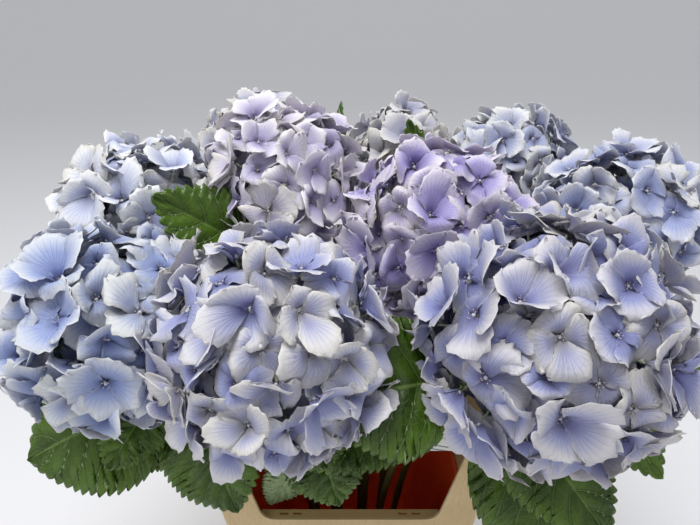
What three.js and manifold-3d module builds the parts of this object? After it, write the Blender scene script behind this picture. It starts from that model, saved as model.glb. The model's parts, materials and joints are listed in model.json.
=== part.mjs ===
// Ten cut hydrangea stems standing in a tapered carton sleeve with a plastic bucket inside it.
// Millimetres, +Z up, origin at the middle of the bucket's underside, front towards -Y.
import * as THREE from "three";
import { mergeVertices } from "three/addons/utils/BufferGeometryUtils.js";
import Module from "manifold-3d";

const wasm = await Module();
wasm.setup();

const gap = 0.4; // kept between pieces that touch
const throughCut = 1; // how far a cut runs past the face that it opens

// ---- Carton sleeve -------------------------------------------------------------------------
const sleeveHeight = 400;
const sleeveTopHalfWidth = 150;
const sleeveTopHalfDepth = 140;
const sideTaper = 0.15; // how far a side wall leans in for each millimetre down
const frontTaper = 0.06; // the same for the front and back walls
const boardThickness = 3;
const creaseRadius = 1; // of the sleeve's folded corners
const creaseSteps = 1;

// ---- Hand window in the front and back walls ------------------------------------------------
const rimStrip = 32; // board left standing above the window
const windowHeight = 100;
const windowTopWidth = 226;
const windowBottomWidth = 180;
const windowCornerRadius = 14;
const windowCornerSteps = 5;
const windowOvershoot = 70; // how far the cut runs past the front and back walls
const ledgeDepth = 10; // flap folded in along the window's lower edge
const ledgeThickness = 2.5;
const notchLength = 9;
const notchWidth = 3;
const notchSpacing = 14;
const notchOffset = 62; // middle of a pair of notches, from the middle of the ledge

// ---- Bucket ---------------------------------------------------------------------------------
const bucketWall = 2.2;
const bucketFloor = 3;
const bucketClearance = 1.2; // between the bucket and the sleeve
const bucketBelowLedge = 4;
const bucketCornerRadius = 22;
const bucketCornerSteps = 4;
const bucketLipHeight = 7;
const bucketLipInset = 1.8;

// ---- Label ----------------------------------------------------------------------------------
const labelWidth = 84;
const labelHeight = 40;
const labelThickness = 0.4;
const labelTilt = THREE.MathUtils.degToRad(12);
const labelCentreX = 88;
const labelBelowRim = 20;

// ---- Plants ---------------------------------------------------------------------------------
const stemRadius = 4.5;
const stemSides = 8;
const stemSteps = 12;
const stemFootShare = 0.2; // where a stem stands in the bucket, as a share of its head's place
const stemBend = 110; // below the rim, where a stem begins to lean towards its head
const stemNeck = 120; // length that runs into the head along its axis
const headLean = 0.0034; // slope of a head's axis for each millimetre that it sits off centre
const headDetail = 4; // how finely a head's dome is divided
const headUnderside = 0.58; // underside of a head, as a share of its radius
const leafThickness = 1.2;
const petioleRadius = 2.2;
const petioleShare = 0.16; // of a leaf's length
const leafFullness = 0.72; // below 1 the widest place moves towards the stem
const leafRoundness = 0.8; // below 1 the outline is blunter
const leafTipHalfWidth = 0.8;
const leafFold = 0.16; // how far the edges rise, as a share of half the width
const leafEdgeShare = 0.5; // thickness at the edges, as a share of that at the midrib
const leafStations = [0, petioleShare, 0.24, 0.36, 0.5, 0.64, 0.78, 0.9, 1]; // along the leaf

// Each head: its middle, from the middle of the sleeve's rim, and its radius.
const heads = {
  front_right: { centre: [141, -197, 132], radius: 94, colour: 0x9fb0da },
  front_left: { centre: [-61, -182, 116], radius: 92, colour: 0xa3b2dc },
  far_left: { centre: [-185, -155, 117], radius: 84, colour: 0x9bb6df },
  upper_left: { centre: [-193, -38, 163], radius: 80, colour: 0xa9b7dd },
  centre: { centre: [-65, -12, 188], radius: 80, colour: 0xaeaed8 },
  centre_right: { centre: [76, -80, 164], radius: 83, colour: 0xa0a4d8 },
  right: { centre: [248, -50, 164], radius: 76, colour: 0x9fb0da },
  back_right: { centre: [186, 95, 172], radius: 76, colour: 0xa4b2da },
  back_centre: { centre: [66, 150, 180], radius: 64, colour: 0xa8b0d0 },
  back_left: { centre: [-106, 131, 180], radius: 78, colour: 0xb2bcd2 },
};

// Each leaf: the stem it grows on, how far up that stem, its tip from the middle of the sleeve's
// rim, its width, the way its upper face looks and how far its midrib arches that way.
const leaves = {
  low_left: {
    stem: "far_left", at: 0.84, tip: [-273, -182, 0], width: 122,
    face: [-0.2, -0.75, 0.6], arch: 16,
  },
  left_hanging: {
    stem: "far_left", at: 0.95, tip: [-190, -214, 21], width: 56,
    face: [0.1, -0.9, 0.3], arch: 10,
  },
  low_left_under: {
    stem: "far_left", at: 0.77, tip: [-196, -168, -28], width: 62,
    face: [-0.1, -0.6, 0.8], arch: 8,
  },
  left_edge: {
    stem: "upper_left", at: 0.88, tip: [-334, -86, 28], width: 70,
    face: [-0.5, -0.2, 0.8], arch: 14,
  },
  front_hanging: {
    stem: "far_left", at: 0.9, tip: [-94, -204, -36], width: 96,
    face: [-0.1, -0.9, 0.4], arch: 10,
  },
  window_left: {
    stem: "front_left", at: 0.62, tip: [-86, -112, -132], width: 60,
    face: [-0.2, -0.7, -0.6], arch: 4,
  },
  window_middle: {
    stem: "front_left", at: 0.8, tip: [-10, -178, -58], width: 74,
    face: [0.1, -0.9, 0.4], arch: 10,
  },
  front_middle: {
    stem: "front_left", at: 0.88, tip: [-20, -196, 4], width: 66,
    face: [0.2, -0.8, 0.6], arch: 10,
  },
  big_middle: {
    stem: "front_right", at: 0.95, tip: [-30, -190, 70], width: 100,
    face: [-0.1, -0.85, 0.5], arch: 14,
  },
  over_rim: {
    stem: "front_right", at: 0.79, tip: [-52, -176, -9], width: 76,
    face: [0, -0.5, 0.85], arch: 12,
  },
  rim_small: {
    stem: "centre_right", at: 0.72, tip: [48, -158, -28], width: 44,
    face: [0, -0.9, 0.5], arch: 12,
  },
  low_right: {
    stem: "front_right", at: 0.86, tip: [202, -236, -68], width: 106,
    face: [-0.1, -0.85, 0.5], arch: 16,
  },
  low_right_upper: {
    stem: "front_right", at: 0.93, tip: [192, -252, -8], width: 82,
    face: [0.05, -0.8, 0.6], arch: 10,
  },
  low_right_side: {
    stem: "right", at: 0.8, tip: [266, -188, -16], width: 96,
    face: [0.2, -0.7, 0.7], arch: 10,
  },
  right_edge: {
    stem: "right", at: 0.88, tip: [366, -118, 20], width: 86,
    face: [0.3, -0.5, 0.8], arch: 14,
  },
  right_back: {
    stem: "back_right", at: 0.88, tip: [330, 60, 60], width: 84,
    face: [0.4, 0.1, 0.9], arch: 16,
  },
  upright_left: {
    stem: "centre", at: 0.82, tip: [-160, -112, 212], width: 84,
    face: [-0.1, -0.75, 0.65], arch: 12,
  },
  upright_back: {
    stem: "back_centre", at: 0.76, tip: [-10, 160, 244], width: 44,
    face: [-0.8, -0.53, 0.27], arch: 26,
  },
  upright_right: {
    stem: "back_right", at: 0.76, tip: [62, 58, 242], width: 56,
    face: [0, -1, 0.1], arch: 4,
  },
  back_low_left: {
    stem: "back_left", at: 0.84, tip: [-178, 232, 24], width: 96,
    face: [-0.2, 0.7, 0.7], arch: 16,
  },
  back_low_middle: {
    stem: "back_centre", at: 0.84, tip: [10, 252, 8], width: 92,
    face: [0, 0.75, 0.65], arch: 16,
  },
  back_low_right: {
    stem: "back_right", at: 0.78, tip: [170, 236, 4], width: 96,
    face: [0.2, 0.7, 0.7], arch: 16,
  },
  side_left: {
    stem: "upper_left", at: 0.8, tip: [-286, 40, 32], width: 92,
    face: [-0.6, 0.2, 0.75], arch: 14,
  },
};

// ---- Solids and cuts ------------------------------------------------------------------------
// A geometry with nothing but its corners, so that those which coincide can be merged.
function bareGeometry(geometry) {
  geometry.deleteAttribute("normal");
  geometry.deleteAttribute("uv");
  return geometry;
}

function toSolid(geometry) {
  const merged = mergeVertices(bareGeometry(geometry), 1e-4);
  return new wasm.Manifold(
    new wasm.Mesh({
      numProp: 3,
      vertProperties: new Float32Array(merged.attributes.position.array),
      triVerts: new Uint32Array(merged.index.array),
    }),
  );
}

function toGeometry(solid) {
  const mesh = solid.getMesh();
  const geometry = new THREE.BufferGeometry();
  geometry.setAttribute("position", new THREE.BufferAttribute(new Float32Array(mesh.vertProperties), 3));
  geometry.setIndex(new THREE.BufferAttribute(new Uint32Array(mesh.triVerts), 1));
  geometry.computeVertexNormals();
  return geometry;
}

// The largest separate body of a solid that a cut may have split.
function largestBody(solid) {
  const bodies = solid.decompose();
  return bodies.reduce((best, body) => (body.volume() > best.volume() ? body : best));
}

function boxesTouch(a, b) {
  return [0, 1, 2].every((axis) => a.min[axis] < b.max[axis] && b.min[axis] < a.max[axis]);
}

// A closed body through rings of points, each ring with the same count, closed by a fan at each end.
function loft(rings) {
  const count = rings[0].length;
  const positions = rings.flat().flatMap((point) => [point.x, point.y, point.z]);
  const indices = [];
  for (let ring = 0; ring < rings.length - 1; ring += 1) {
    for (let side = 0; side < count; side += 1) {
      const next = (side + 1) % count;
      const low = ring * count;
      const high = low + count;
      indices.push(low + side, low + next, high + next);
      indices.push(low + side, high + next, high + side);
    }
  }
  const last = (rings.length - 1) * count;
  for (let side = 1; side < count - 1; side += 1) {
    indices.push(0, side + 1, side);
    indices.push(last, last + side, last + side + 1);
  }
  const geometry = new THREE.BufferGeometry();
  geometry.setAttribute("position", new THREE.Float32BufferAttribute(positions, 3));
  geometry.setIndex(indices);
  return geometry;
}

// ---- Holder ---------------------------------------------------------------------------------
function sleeveHalfSize(z) {
  return [
    sleeveTopHalfWidth - (sleeveHeight - z) * sideTaper,
    sleeveTopHalfDepth - (sleeveHeight - z) * frontTaper,
  ];
}

function roundedRing(halfWidth, halfDepth, radius, z, cornerSteps) {
  const ring = [];
  const corners = [
    [1, -1, -0.5],
    [1, 1, 0],
    [-1, 1, 0.5],
    [-1, -1, 1],
  ];
  for (const [sideX, sideY, start] of corners) {
    for (let step = 0; step <= cornerSteps; step += 1) {
      const angle = Math.PI * (start + (0.5 * step) / cornerSteps);
      ring.push(
        new THREE.Vector3(
          sideX * (halfWidth - radius) + radius * Math.cos(angle),
          sideY * (halfDepth - radius) + radius * Math.sin(angle),
          z,
        ),
      );
    }
  }
  return ring;
}

// The tapered space inside the sleeve's outer faces, drawn in by an inset, between two heights.
function taperedBody(inset, low, high, radius, cornerSteps) {
  const rings = [low, high].map((z) => {
    const [halfWidth, halfDepth] = sleeveHalfSize(z);
    return roundedRing(halfWidth - inset, halfDepth - inset, radius, z, cornerSteps);
  });
  return toSolid(loft(rings));
}

const windowTop = sleeveHeight - rimStrip;
const windowBottom = windowTop - windowHeight;

// The window's outline, run right through the front and back walls.
function windowCut(grow) {
  const topHalf = windowTopWidth / 2 + grow;
  const bottomHalf = windowBottomWidth / 2 + grow;
  const top = windowTop + grow;
  const bottom = windowBottom - grow;
  const slope = (topHalf - bottomHalf) / (top - bottom);
  const reach = windowCornerRadius;
  const outline = new THREE.Shape();
  outline.moveTo(-topHalf, top);
  outline.lineTo(-bottomHalf - slope * reach, bottom + reach);
  outline.quadraticCurveTo(-bottomHalf, bottom, -bottomHalf + reach, bottom);
  outline.lineTo(bottomHalf - reach, bottom);
  outline.quadraticCurveTo(bottomHalf, bottom, bottomHalf + slope * reach, bottom + reach);
  outline.lineTo(topHalf, top);
  outline.closePath();
  const depth = 2 * (sleeveTopHalfDepth + windowOvershoot);
  const geometry = new THREE.ExtrudeGeometry(outline, {
    depth,
    bevelEnabled: false,
    curveSegments: windowCornerSteps,
  });
  geometry.translate(0, 0, -depth / 2);
  geometry.rotateX(Math.PI / 2);
  return toSolid(geometry);
}

function ledge(side) {
  const [, halfDepth] = sleeveHalfSize(windowBottom);
  const outer = halfDepth - boardThickness / 2;
  const inner = halfDepth - boardThickness - ledgeDepth;
  const length = windowBottomWidth + 2 * boardThickness;
  const flap = new THREE.BoxGeometry(length, outer - inner, ledgeThickness);
  flap.translate(0, (side * (outer + inner)) / 2, windowBottom - ledgeThickness / 2);
  let solid = toSolid(flap);
  for (const pair of [-1, 1]) {
    for (const half of [-0.5, 0.5]) {
      const notch = new THREE.BoxGeometry(notchLength, notchWidth, ledgeThickness + 2 * throughCut);
      const x = pair * notchOffset + half * notchSpacing;
      notch.translate(x, side * (inner + ledgeDepth / 2), windowBottom - ledgeThickness / 2);
      solid = solid.subtract(toSolid(notch));
    }
  }
  return solid;
}

function makeSleeve(grow) {
  const top = sleeveHeight + grow;
  const outer = taperedBody(-grow, 0, top, creaseRadius, creaseSteps);
  const inner = taperedBody(
    boardThickness + grow,
    -throughCut,
    top + throughCut,
    creaseRadius,
    creaseSteps,
  );
  let solid = outer.subtract(inner).subtract(windowCut(-grow));
  for (const side of [-1, 1]) {
    solid = solid.add(ledge(side));
  }
  return solid;
}

const bucketRim = windowBottom - ledgeThickness - bucketBelowLedge;

function makeBucket(grow) {
  const outerInset = boardThickness + bucketClearance;
  const innerInset = outerInset + bucketWall;
  const lipInset = innerInset + bucketLipInset;
  const bodyTop = bucketRim - bucketLipHeight;
  const rounded = (inset, low, high) =>
    taperedBody(inset, low, high, bucketCornerRadius, bucketCornerSteps);
  const outer = rounded(outerInset - grow, 0, bucketRim + grow);
  const inner = rounded(innerInset + grow, bucketFloor + grow, bodyTop);
  const mouth = rounded(lipInset + grow, bodyTop - throughCut, bucketRim + grow + throughCut);
  return outer.subtract(inner).subtract(mouth);
}

function makeLabel(grow) {
  const [, halfDepth] = sleeveHalfSize(sleeveHeight - labelBelowRim);
  const sticker = new THREE.BoxGeometry(labelWidth, labelThickness + 2 * grow, labelHeight);
  sticker.rotateY(-labelTilt);
  sticker.rotateX(Math.atan(frontTaper));
  sticker.translate(
    labelCentreX,
    -halfDepth - gap - labelThickness / 2,
    sleeveHeight - labelBelowRim,
  );
  const solid = toSolid(sticker).subtract(windowCut(gap));
  return solid.trimByPlane([0, 0, -1], -sleeveHeight);
}

// ---- Heads ----------------------------------------------------------------------------------
const vector = (list) => new THREE.Vector3(...list);
const fromRim = ([x, y, z]) => new THREE.Vector3(x, y, sleeveHeight + z);

function headAxis(head) {
  return new THREE.Vector3(head.centre[0] * headLean, head.centre[1] * headLean, 1).normalize();
}

function headBase(head) {
  return fromRim(head.centre).addScaledVector(headAxis(head), -headUnderside * head.radius);
}

function makeHead(name, grow) {
  const head = heads[name];
  const geometry = new THREE.IcosahedronGeometry(head.radius + grow, headDetail);
  geometry.translate(...fromRim(head.centre).toArray());
  let solid = toSolid(geometry);
  const axis = headAxis(head);
  solid = solid.trimByPlane(axis.toArray(), axis.dot(headBase(head)) - grow);
  for (const [otherName, other] of Object.entries(heads)) {
    const between = fromRim(other.centre).sub(fromRim(head.centre));
    const distance = between.length();
    if (otherName === name || distance > head.radius + other.radius) {
      continue;
    }
    const meet = (distance ** 2 + head.radius ** 2 - other.radius ** 2) / (2 * distance);
    const normal = between.normalize();
    const offset = normal.dot(fromRim(head.centre)) + meet - gap / 2;
    solid = solid.trimByPlane(normal.clone().negate().toArray(), -offset);
  }
  return solid;
}

// ---- Stems ----------------------------------------------------------------------------------
function stemCurve(name) {
  const head = heads[name];
  const axis = headAxis(head);
  const top = headBase(head).addScaledVector(axis, -gap);
  const foot = new THREE.Vector3(
    head.centre[0] * stemFootShare,
    head.centre[1] * stemFootShare,
    bucketFloor + gap,
  );
  const knee = foot.clone().add(new THREE.Vector3(0, 0, sleeveHeight - stemBend));
  const neck = top.clone().addScaledVector(axis, -stemNeck);
  return new THREE.CubicBezierCurve3(foot, knee, neck, top);
}

function makeStem(name, grow) {
  const corners = Array.from({ length: stemSides }, (_, index) => {
    const angle = (2 * Math.PI * index) / stemSides;
    return new THREE.Vector2(Math.cos(angle), Math.sin(angle)).multiplyScalar(stemRadius + grow);
  });
  const geometry = new THREE.ExtrudeGeometry(new THREE.Shape(corners), {
    steps: stemSteps,
    bevelEnabled: false,
    extrudePath: stemCurve(name),
  });
  return toSolid(geometry);
}

// ---- Leaves ---------------------------------------------------------------------------------
function leafHalfWidth(share, width) {
  if (share <= petioleShare) {
    return petioleRadius;
  }
  const along = (share - petioleShare) / (1 - petioleShare);
  const outline = Math.sin(Math.PI * along ** leafFullness) ** leafRoundness;
  return Math.max(petioleRadius * (1 - along), (width / 2) * outline, leafTipHalfWidth);
}

function makeLeaf(name, grow) {
  const leaf = leaves[name];
  const stem = stemCurve(leaf.stem);
  const root = stem.getPoint(leaf.at);
  const tip = fromRim(leaf.tip);
  const face = vector(leaf.face).normalize();
  const out = tip.clone().sub(root).normalize();
  const base = root.addScaledVector(out, stemRadius + gap);
  const middle = base.clone().lerp(tip, 0.5).addScaledVector(face, 2 * leaf.arch);
  const spine = new THREE.QuadraticBezierCurve3(base, middle, tip);
  const rings = leafStations.map((share) => {
    const along = spine.getTangent(share);
    const side = new THREE.Vector3().crossVectors(along, face).normalize();
    const up = new THREE.Vector3().crossVectors(side, along).normalize();
    const centre = spine.getPoint(share);
    const half = leafHalfWidth(share, leaf.width) + grow;
    const blade = share > petioleShare;
    const thick = (blade ? leafThickness : petioleRadius) / 2 + grow;
    const rise = blade ? leafFold * half : 0;
    const edge = leafEdgeShare * thick;
    const at = (across, height) =>
      centre.clone().addScaledVector(side, across).addScaledVector(up, height);
    return [
      at(0, thick),
      at(half, rise + edge),
      at(half, rise - edge),
      at(0, -thick),
      at(-half, rise - edge),
      at(-half, rise + edge),
    ];
  });
  return toSolid(loft(rings));
}

// ---- Assembly -------------------------------------------------------------------------------
const finishes = {
  board: { color: 0xcdb48a, roughness: 0.85, metalness: 0 },
  redPlastic: { color: 0xa82a0e, roughness: 0.45, metalness: 0 },
  paper: { color: 0xf0eeee, roughness: 0.7, metalness: 0 },
  stem: { color: 0x5c7a33, roughness: 0.6, metalness: 0 },
  leaf: { color: 0x2f5a1c, roughness: 0.45, metalness: 0 },
};

const hydrangeas = new THREE.Group();
const placed = [];

// Cuts a piece clear of everything placed before it, then adds it as a named mesh.
function place(name, make, finish) {
  let solid = make(0);
  for (const other of placed) {
    if (boxesTouch(solid.boundingBox(), other.box)) {
      solid = solid.subtract(other.make(gap));
    }
  }
  solid = largestBody(solid);
  placed.push({ make, box: make(gap).boundingBox() });
  const mesh = new THREE.Mesh(toGeometry(solid), new THREE.MeshStandardMaterial(finish));
  mesh.name = name;
  hydrangeas.add(mesh);
}

place("carton_sleeve", makeSleeve, finishes.board);
place("bucket", makeBucket, finishes.redPlastic);
place("label", makeLabel, finishes.paper);
for (const name of Object.keys(heads)) {
  place(`stem_${name}`, (grow) => makeStem(name, grow), finishes.stem);
}
for (const [name, head] of Object.entries(heads)) {
  const petals = { color: head.colour, roughness: 0.8, metalness: 0 };
  place(`head_${name}`, (grow) => makeHead(name, grow), petals);
}
for (const name of Object.keys(leaves)) {
  place(`leaf_${name}`, (grow) => makeLeaf(name, grow), finishes.leaf);
}

export default hydrangeas;
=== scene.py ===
import json
import math

import bpy
import numpy as np
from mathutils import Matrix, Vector

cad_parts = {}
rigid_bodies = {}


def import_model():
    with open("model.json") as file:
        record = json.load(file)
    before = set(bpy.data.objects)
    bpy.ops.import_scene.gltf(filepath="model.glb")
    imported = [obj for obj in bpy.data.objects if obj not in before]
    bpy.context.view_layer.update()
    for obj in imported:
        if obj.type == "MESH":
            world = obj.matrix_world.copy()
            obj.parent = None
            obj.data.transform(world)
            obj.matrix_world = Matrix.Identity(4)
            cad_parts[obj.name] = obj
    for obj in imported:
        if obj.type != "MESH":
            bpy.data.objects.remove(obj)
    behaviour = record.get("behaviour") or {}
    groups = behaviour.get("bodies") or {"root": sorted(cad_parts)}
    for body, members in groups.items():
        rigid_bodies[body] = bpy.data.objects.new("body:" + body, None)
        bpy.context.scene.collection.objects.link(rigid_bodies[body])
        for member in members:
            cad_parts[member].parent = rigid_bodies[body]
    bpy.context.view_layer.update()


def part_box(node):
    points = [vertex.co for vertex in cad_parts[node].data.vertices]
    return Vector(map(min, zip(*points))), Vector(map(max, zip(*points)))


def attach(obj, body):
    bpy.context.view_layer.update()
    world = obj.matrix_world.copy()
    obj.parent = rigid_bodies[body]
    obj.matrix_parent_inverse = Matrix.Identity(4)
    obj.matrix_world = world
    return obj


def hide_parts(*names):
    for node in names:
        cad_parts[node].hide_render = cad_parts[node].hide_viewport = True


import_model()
millimetre = 0.001


def unit(rows):
    rows = np.asarray(rows, float)
    return rows / np.maximum(np.linalg.norm(rows, axis=-1, keepdims=True), 1e-12)


def smoothStep(low, high, value):
    share = np.clip((value - low) / (high - low), 0.0, 1.0)
    return share * share * (3.0 - 2.0 * share)


def linkObject(name, mesh):
    piece = bpy.data.objects.new(name, mesh)
    bpy.context.scene.collection.objects.link(piece)
    return piece


def meshFrom(name, points, faces):
    mesh = bpy.data.meshes.new(name)
    mesh.from_pydata([tuple(map(float, point)) for point in points], [], [tuple(face) for face in faces])
    mesh.polygons.foreach_set("use_smooth", [True] * len(mesh.polygons))
    mesh.update()
    return mesh


def setPointValue(mesh, name, values):
    attribute = mesh.attributes.get(name) or mesh.attributes.new(name, "FLOAT", "POINT")
    attribute.data.foreach_set("value", np.asarray(values, np.float32))


def setCornerMap(mesh, name, perPoint):
    layer = mesh.uv_layers.new(name=name)
    corners = np.empty(len(mesh.loops), np.int32)
    mesh.loops.foreach_get("vertex_index", corners)
    layer.data.foreach_set("uv", np.asarray(perPoint, np.float32)[corners].ravel())


def pointsOf(mesh):
    points = np.empty(len(mesh.vertices) * 3, np.float64)
    mesh.vertices.foreach_get("co", points)
    return points.reshape(-1, 3)


def valuesOf(mesh, name, size=1):
    attribute = mesh.attributes[name]
    field = "vector" if size == 3 else "value"
    values = np.empty(len(attribute.data) * size, np.float32)
    attribute.data.foreach_get(field, values)
    return values.reshape(-1, size) if size > 1 else values


# Gathers the parts of one mesh: points, faces, a place on the map, a kind and a cell for each.
class Parts:
    def __init__(self):
        self.points, self.faces, self.maps, self.kinds, self.cells, self.unders = [], [], [], [], [], []
        self.count = 0

    def add(self, points, faces, places, kind, cell=0, under=None):
        self.points.append(np.asarray(points, float))
        self.faces += [tuple(int(index) + self.count for index in face) for face in faces]
        self.maps.append(np.asarray(places, float))
        kinds = np.asarray(kind, float)
        self.kinds.append(np.full(len(points), float(kind)) if kinds.ndim == 0 else kinds)
        self.cells.append(np.full(len(points), float(cell)))
        self.unders.append(np.zeros(len(points)) if under is None else np.asarray(under, float))
        self.count += len(points)

    def mesh(self, name, mapName):
        mesh = meshFrom(name, np.concatenate(self.points), self.faces)
        setCornerMap(mesh, mapName, np.concatenate(self.maps))
        setPointValue(mesh, "kind", np.concatenate(self.kinds))
        setPointValue(mesh, "cell", np.concatenate(self.cells))
        setPointValue(mesh, "under", np.concatenate(self.unders))
        return mesh


# A round tube along a list of points, closed at both ends by a low cap.
def addTube(parts, path, radii, sides, kind, cell=0):
    path = np.asarray(path, float)
    along = unit(np.gradient(path, axis=0))
    helper = np.array([1.0, 0.0, 0.0]) if abs(along[0][0]) < 0.8 else np.array([0.0, 1.0, 0.0])
    points = [path[0] - along[0] * radii[0] * 0.4]
    places = [(0.5, 0.0)]
    first = unit(np.cross(along[0], helper))
    for index, (centre, way) in enumerate(zip(path, along)):
        first = unit(first - way * (first @ way))
        second = np.cross(way, first)
        for side in range(sides):
            angle = 2.0 * math.pi * side / sides
            points.append(centre + radii[index] * (first * math.cos(angle) + second * math.sin(angle)))
            places.append((side / sides, (index + 0.5) / (len(path) + 1)))
    points.append(path[-1] + along[-1] * radii[-1] * 0.4)
    places.append((0.5, 1.0))
    faces = []
    last = len(points) - 1
    for side in range(sides):
        following = (side + 1) % sides
        faces.append((0, 1 + following, 1 + side))
        for ring in range(len(path) - 1):
            low = 1 + ring * sides
            faces.append((low + side, low + following, low + sides + following, low + sides + side))
        high = 1 + (len(path) - 1) * sides
        faces.append((high + side, high + following, last))
    parts.add(points, faces, places, kind, cell)


def bezierPoints(controls, shares):
    shares = np.asarray(shares, float)[:, None]
    controls = [np.asarray(control, float) for control in controls]
    while len(controls) > 1:
        controls = [a * (1.0 - shares) + b * shares for a, b in zip(controls, controls[1:])]
    return controls[0]


def addNode(tree, kind, inputs=None, **settings):
    node = tree.nodes.new(kind)
    for name, value in settings.items():
        setattr(node, name, value)
    for key, value in (inputs or {}).items():
        socket = node.inputs[key]
        if isinstance(value, bpy.types.NodeSocket):
            tree.links.new(value, socket)
        else:
            socket.default_value = value
    return node


def mathNode(tree, operation, first, second=0.0, third=0.0, clamp=False):
    inputs = {0: first, 1: second, 2: third}
    return addNode(tree, "ShaderNodeMath", inputs, operation=operation, use_clamp=clamp).outputs[0]


def rangeNode(tree, value, low, high, toLow=0.0, toHigh=1.0, smooth=True):
    kind = "SMOOTHSTEP" if smooth else "LINEAR"
    inputs = {"Value": value, "From Min": low, "From Max": high, "To Min": toLow, "To Max": toHigh}
    return addNode(tree, "ShaderNodeMapRange", inputs, interpolation_type=kind).outputs["Result"]


def plus(tree, first, second, clamp=False):
    return mathNode(tree, "ADD", first, second, clamp=clamp)


def minus(tree, first, second):
    return mathNode(tree, "SUBTRACT", first, second)


def times(tree, first, second):
    return mathNode(tree, "MULTIPLY", first, second)


def larger(tree, first, second):
    return mathNode(tree, "MAXIMUM", first, second)


def mixColours(tree, share, first, second):
    node = addNode(tree, "ShaderNodeMix", data_type="RGBA")
    for index, value in ((0, share), (6, first), (7, second)):
        socket = node.inputs[index]
        if isinstance(value, bpy.types.NodeSocket):
            tree.links.new(value, socket)
        else:
            socket.default_value = (*value, 1.0) if isinstance(value, tuple) and len(value) == 3 else value
    return node.outputs[2]


# Lays a second colour over the first where a mask is, at a strength.
def layOver(tree, colour, mask, strength, second):
    return mixColours(tree, times(tree, mask, strength), colour, second)


def objectPlace(tree):
    return addNode(tree, "ShaderNodeTexCoord").outputs["Object"]


def pointKind(tree):
    return addNode(tree, "ShaderNodeAttribute", attribute_name="kind").outputs["Fac"]


def noiseNode(tree, place, scale, detail=2.0, roughness=0.5):
    inputs = {"Vector": place, "Scale": scale, "Detail": detail, "Roughness": roughness}
    return addNode(tree, "ShaderNodeTexNoise", inputs).outputs["Fac"]


def newMaterial(name):
    material = bpy.data.materials.new(name)
    material.use_nodes = True
    tree = material.node_tree
    tree.nodes.clear()
    surface = tree.nodes.new("ShaderNodeBsdfPrincipled")
    output = tree.nodes.new("ShaderNodeOutputMaterial")
    tree.links.new(surface.outputs[0], output.inputs["Surface"])
    return material, tree, surface


# Soft clouds between two colours, used by most finishes at their own scale.
def mottleGroup():
    if "mottle" in bpy.data.node_groups:
        return bpy.data.node_groups["mottle"]
    tree = bpy.data.node_groups.new("mottle", "ShaderNodeTree")
    face = tree.interface
    for name in ("Scale", "Detail"):
        face.new_socket(name, in_out="INPUT", socket_type="NodeSocketFloat")
    for name in ("First", "Second"):
        face.new_socket(name, in_out="INPUT", socket_type="NodeSocketColor")
    face.new_socket("Colour", in_out="OUTPUT", socket_type="NodeSocketColor")
    face.new_socket("Mask", in_out="OUTPUT", socket_type="NodeSocketFloat")
    source = tree.nodes.new("NodeGroupInput").outputs
    cloud = noiseNode(tree, objectPlace(tree), source["Scale"], source["Detail"])
    mask = rangeNode(tree, cloud, 0.3, 0.7)
    result = tree.nodes.new("NodeGroupOutput")
    tree.links.new(mixColours(tree, mask, source["First"], source["Second"]), result.inputs["Colour"])
    tree.links.new(mask, result.inputs["Mask"])
    return tree


def mottle(tree, scale, detail, first, second):
    inputs = {"Scale": scale, "Detail": detail, "First": (*first, 1.0), "Second": (*second, 1.0)}
    node = tree.nodes.new("ShaderNodeGroup")
    node.node_tree = mottleGroup()
    for key, value in inputs.items():
        node.inputs[key].default_value = value
    return node.outputs


def bumpOn(tree, surface, height, strength, distance):
    inputs = {"Height": height, "Strength": strength, "Distance": distance}
    bump = addNode(tree, "ShaderNodeBump", inputs)
    tree.links.new(bump.outputs["Normal"], surface.inputs["Normal"])


view = {
    "place": (0.0, -0.535, 0.75),
    "lookDown": 25.0,  # degrees below level
    "lens": 28.23,
    "sensor": 36.0,
    "reach": 100.0,
}


def makeCamera():
    camera = bpy.data.objects.new("camera", bpy.data.cameras.new("camera"))
    camera.data.lens = view["lens"]
    camera.data.sensor_width = view["sensor"]
    camera.data.clip_end = view["reach"]
    camera.location = view["place"]
    camera.rotation_euler = (math.radians(90.0 - view["lookDown"]), 0.0, 0.0)
    bpy.context.scene.collection.objects.link(camera)
    bpy.context.scene.camera = camera


studio = {
    "sky": 0.50,
    "skyColour": (0.93, 0.95, 1.0, 1.0),
    "top": 28.0,
    "topPlace": (-0.2, -0.4, 2.2),
    "topTarget": (0.0, 0.0, 0.55),
    "front": 4.0,
    "frontPlace": (-1.2, -1.9, 1.3),
    "frontTarget": (0.0, 0.0, 0.5),
    "lampSize": 1.2,
    # painted light on the floor: pale near, painted shade far off, and a glow that fades shadows
    "floorNear": 0.78,
    "floorFarShade": 0.66,
    "floorGlow": 0.20,
    "floorRoughness": 0.9,
    "floorReach": 9.0,
    "wallHeight": 6.0,
    "wallBend": 1.5,
    "bendSteps": 12,
}


def addSoftbox(name, place, target, power):
    light = bpy.data.lights.new(name, "AREA")
    light.shape = "DISK"
    light.size = studio["lampSize"]
    light.energy = power
    lamp = bpy.data.objects.new(name, light)
    lamp.location = place
    lamp.rotation_euler = (Vector(target) - Vector(place)).to_track_quat("-Z", "Y").to_euler()
    bpy.context.scene.collection.objects.link(lamp)


def makeStudio():
    world = bpy.data.worlds.new("studio")
    bpy.context.scene.world = world
    world.use_nodes = True
    background = world.node_tree.nodes["Background"]
    background.inputs["Color"].default_value = studio["skyColour"]
    background.inputs["Strength"].default_value = studio["sky"]
    addSoftbox("top_softbox", studio["topPlace"], studio["topTarget"], studio["top"])
    addSoftbox("front_softbox", studio["frontPlace"], studio["frontTarget"], studio["front"])
    bpy.context.scene.view_settings.view_transform = "Standard"


# The floor is painted light: pale near the front, darkened far off by painted shade, and glowing a little
# so shadows on it stay faint.
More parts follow.
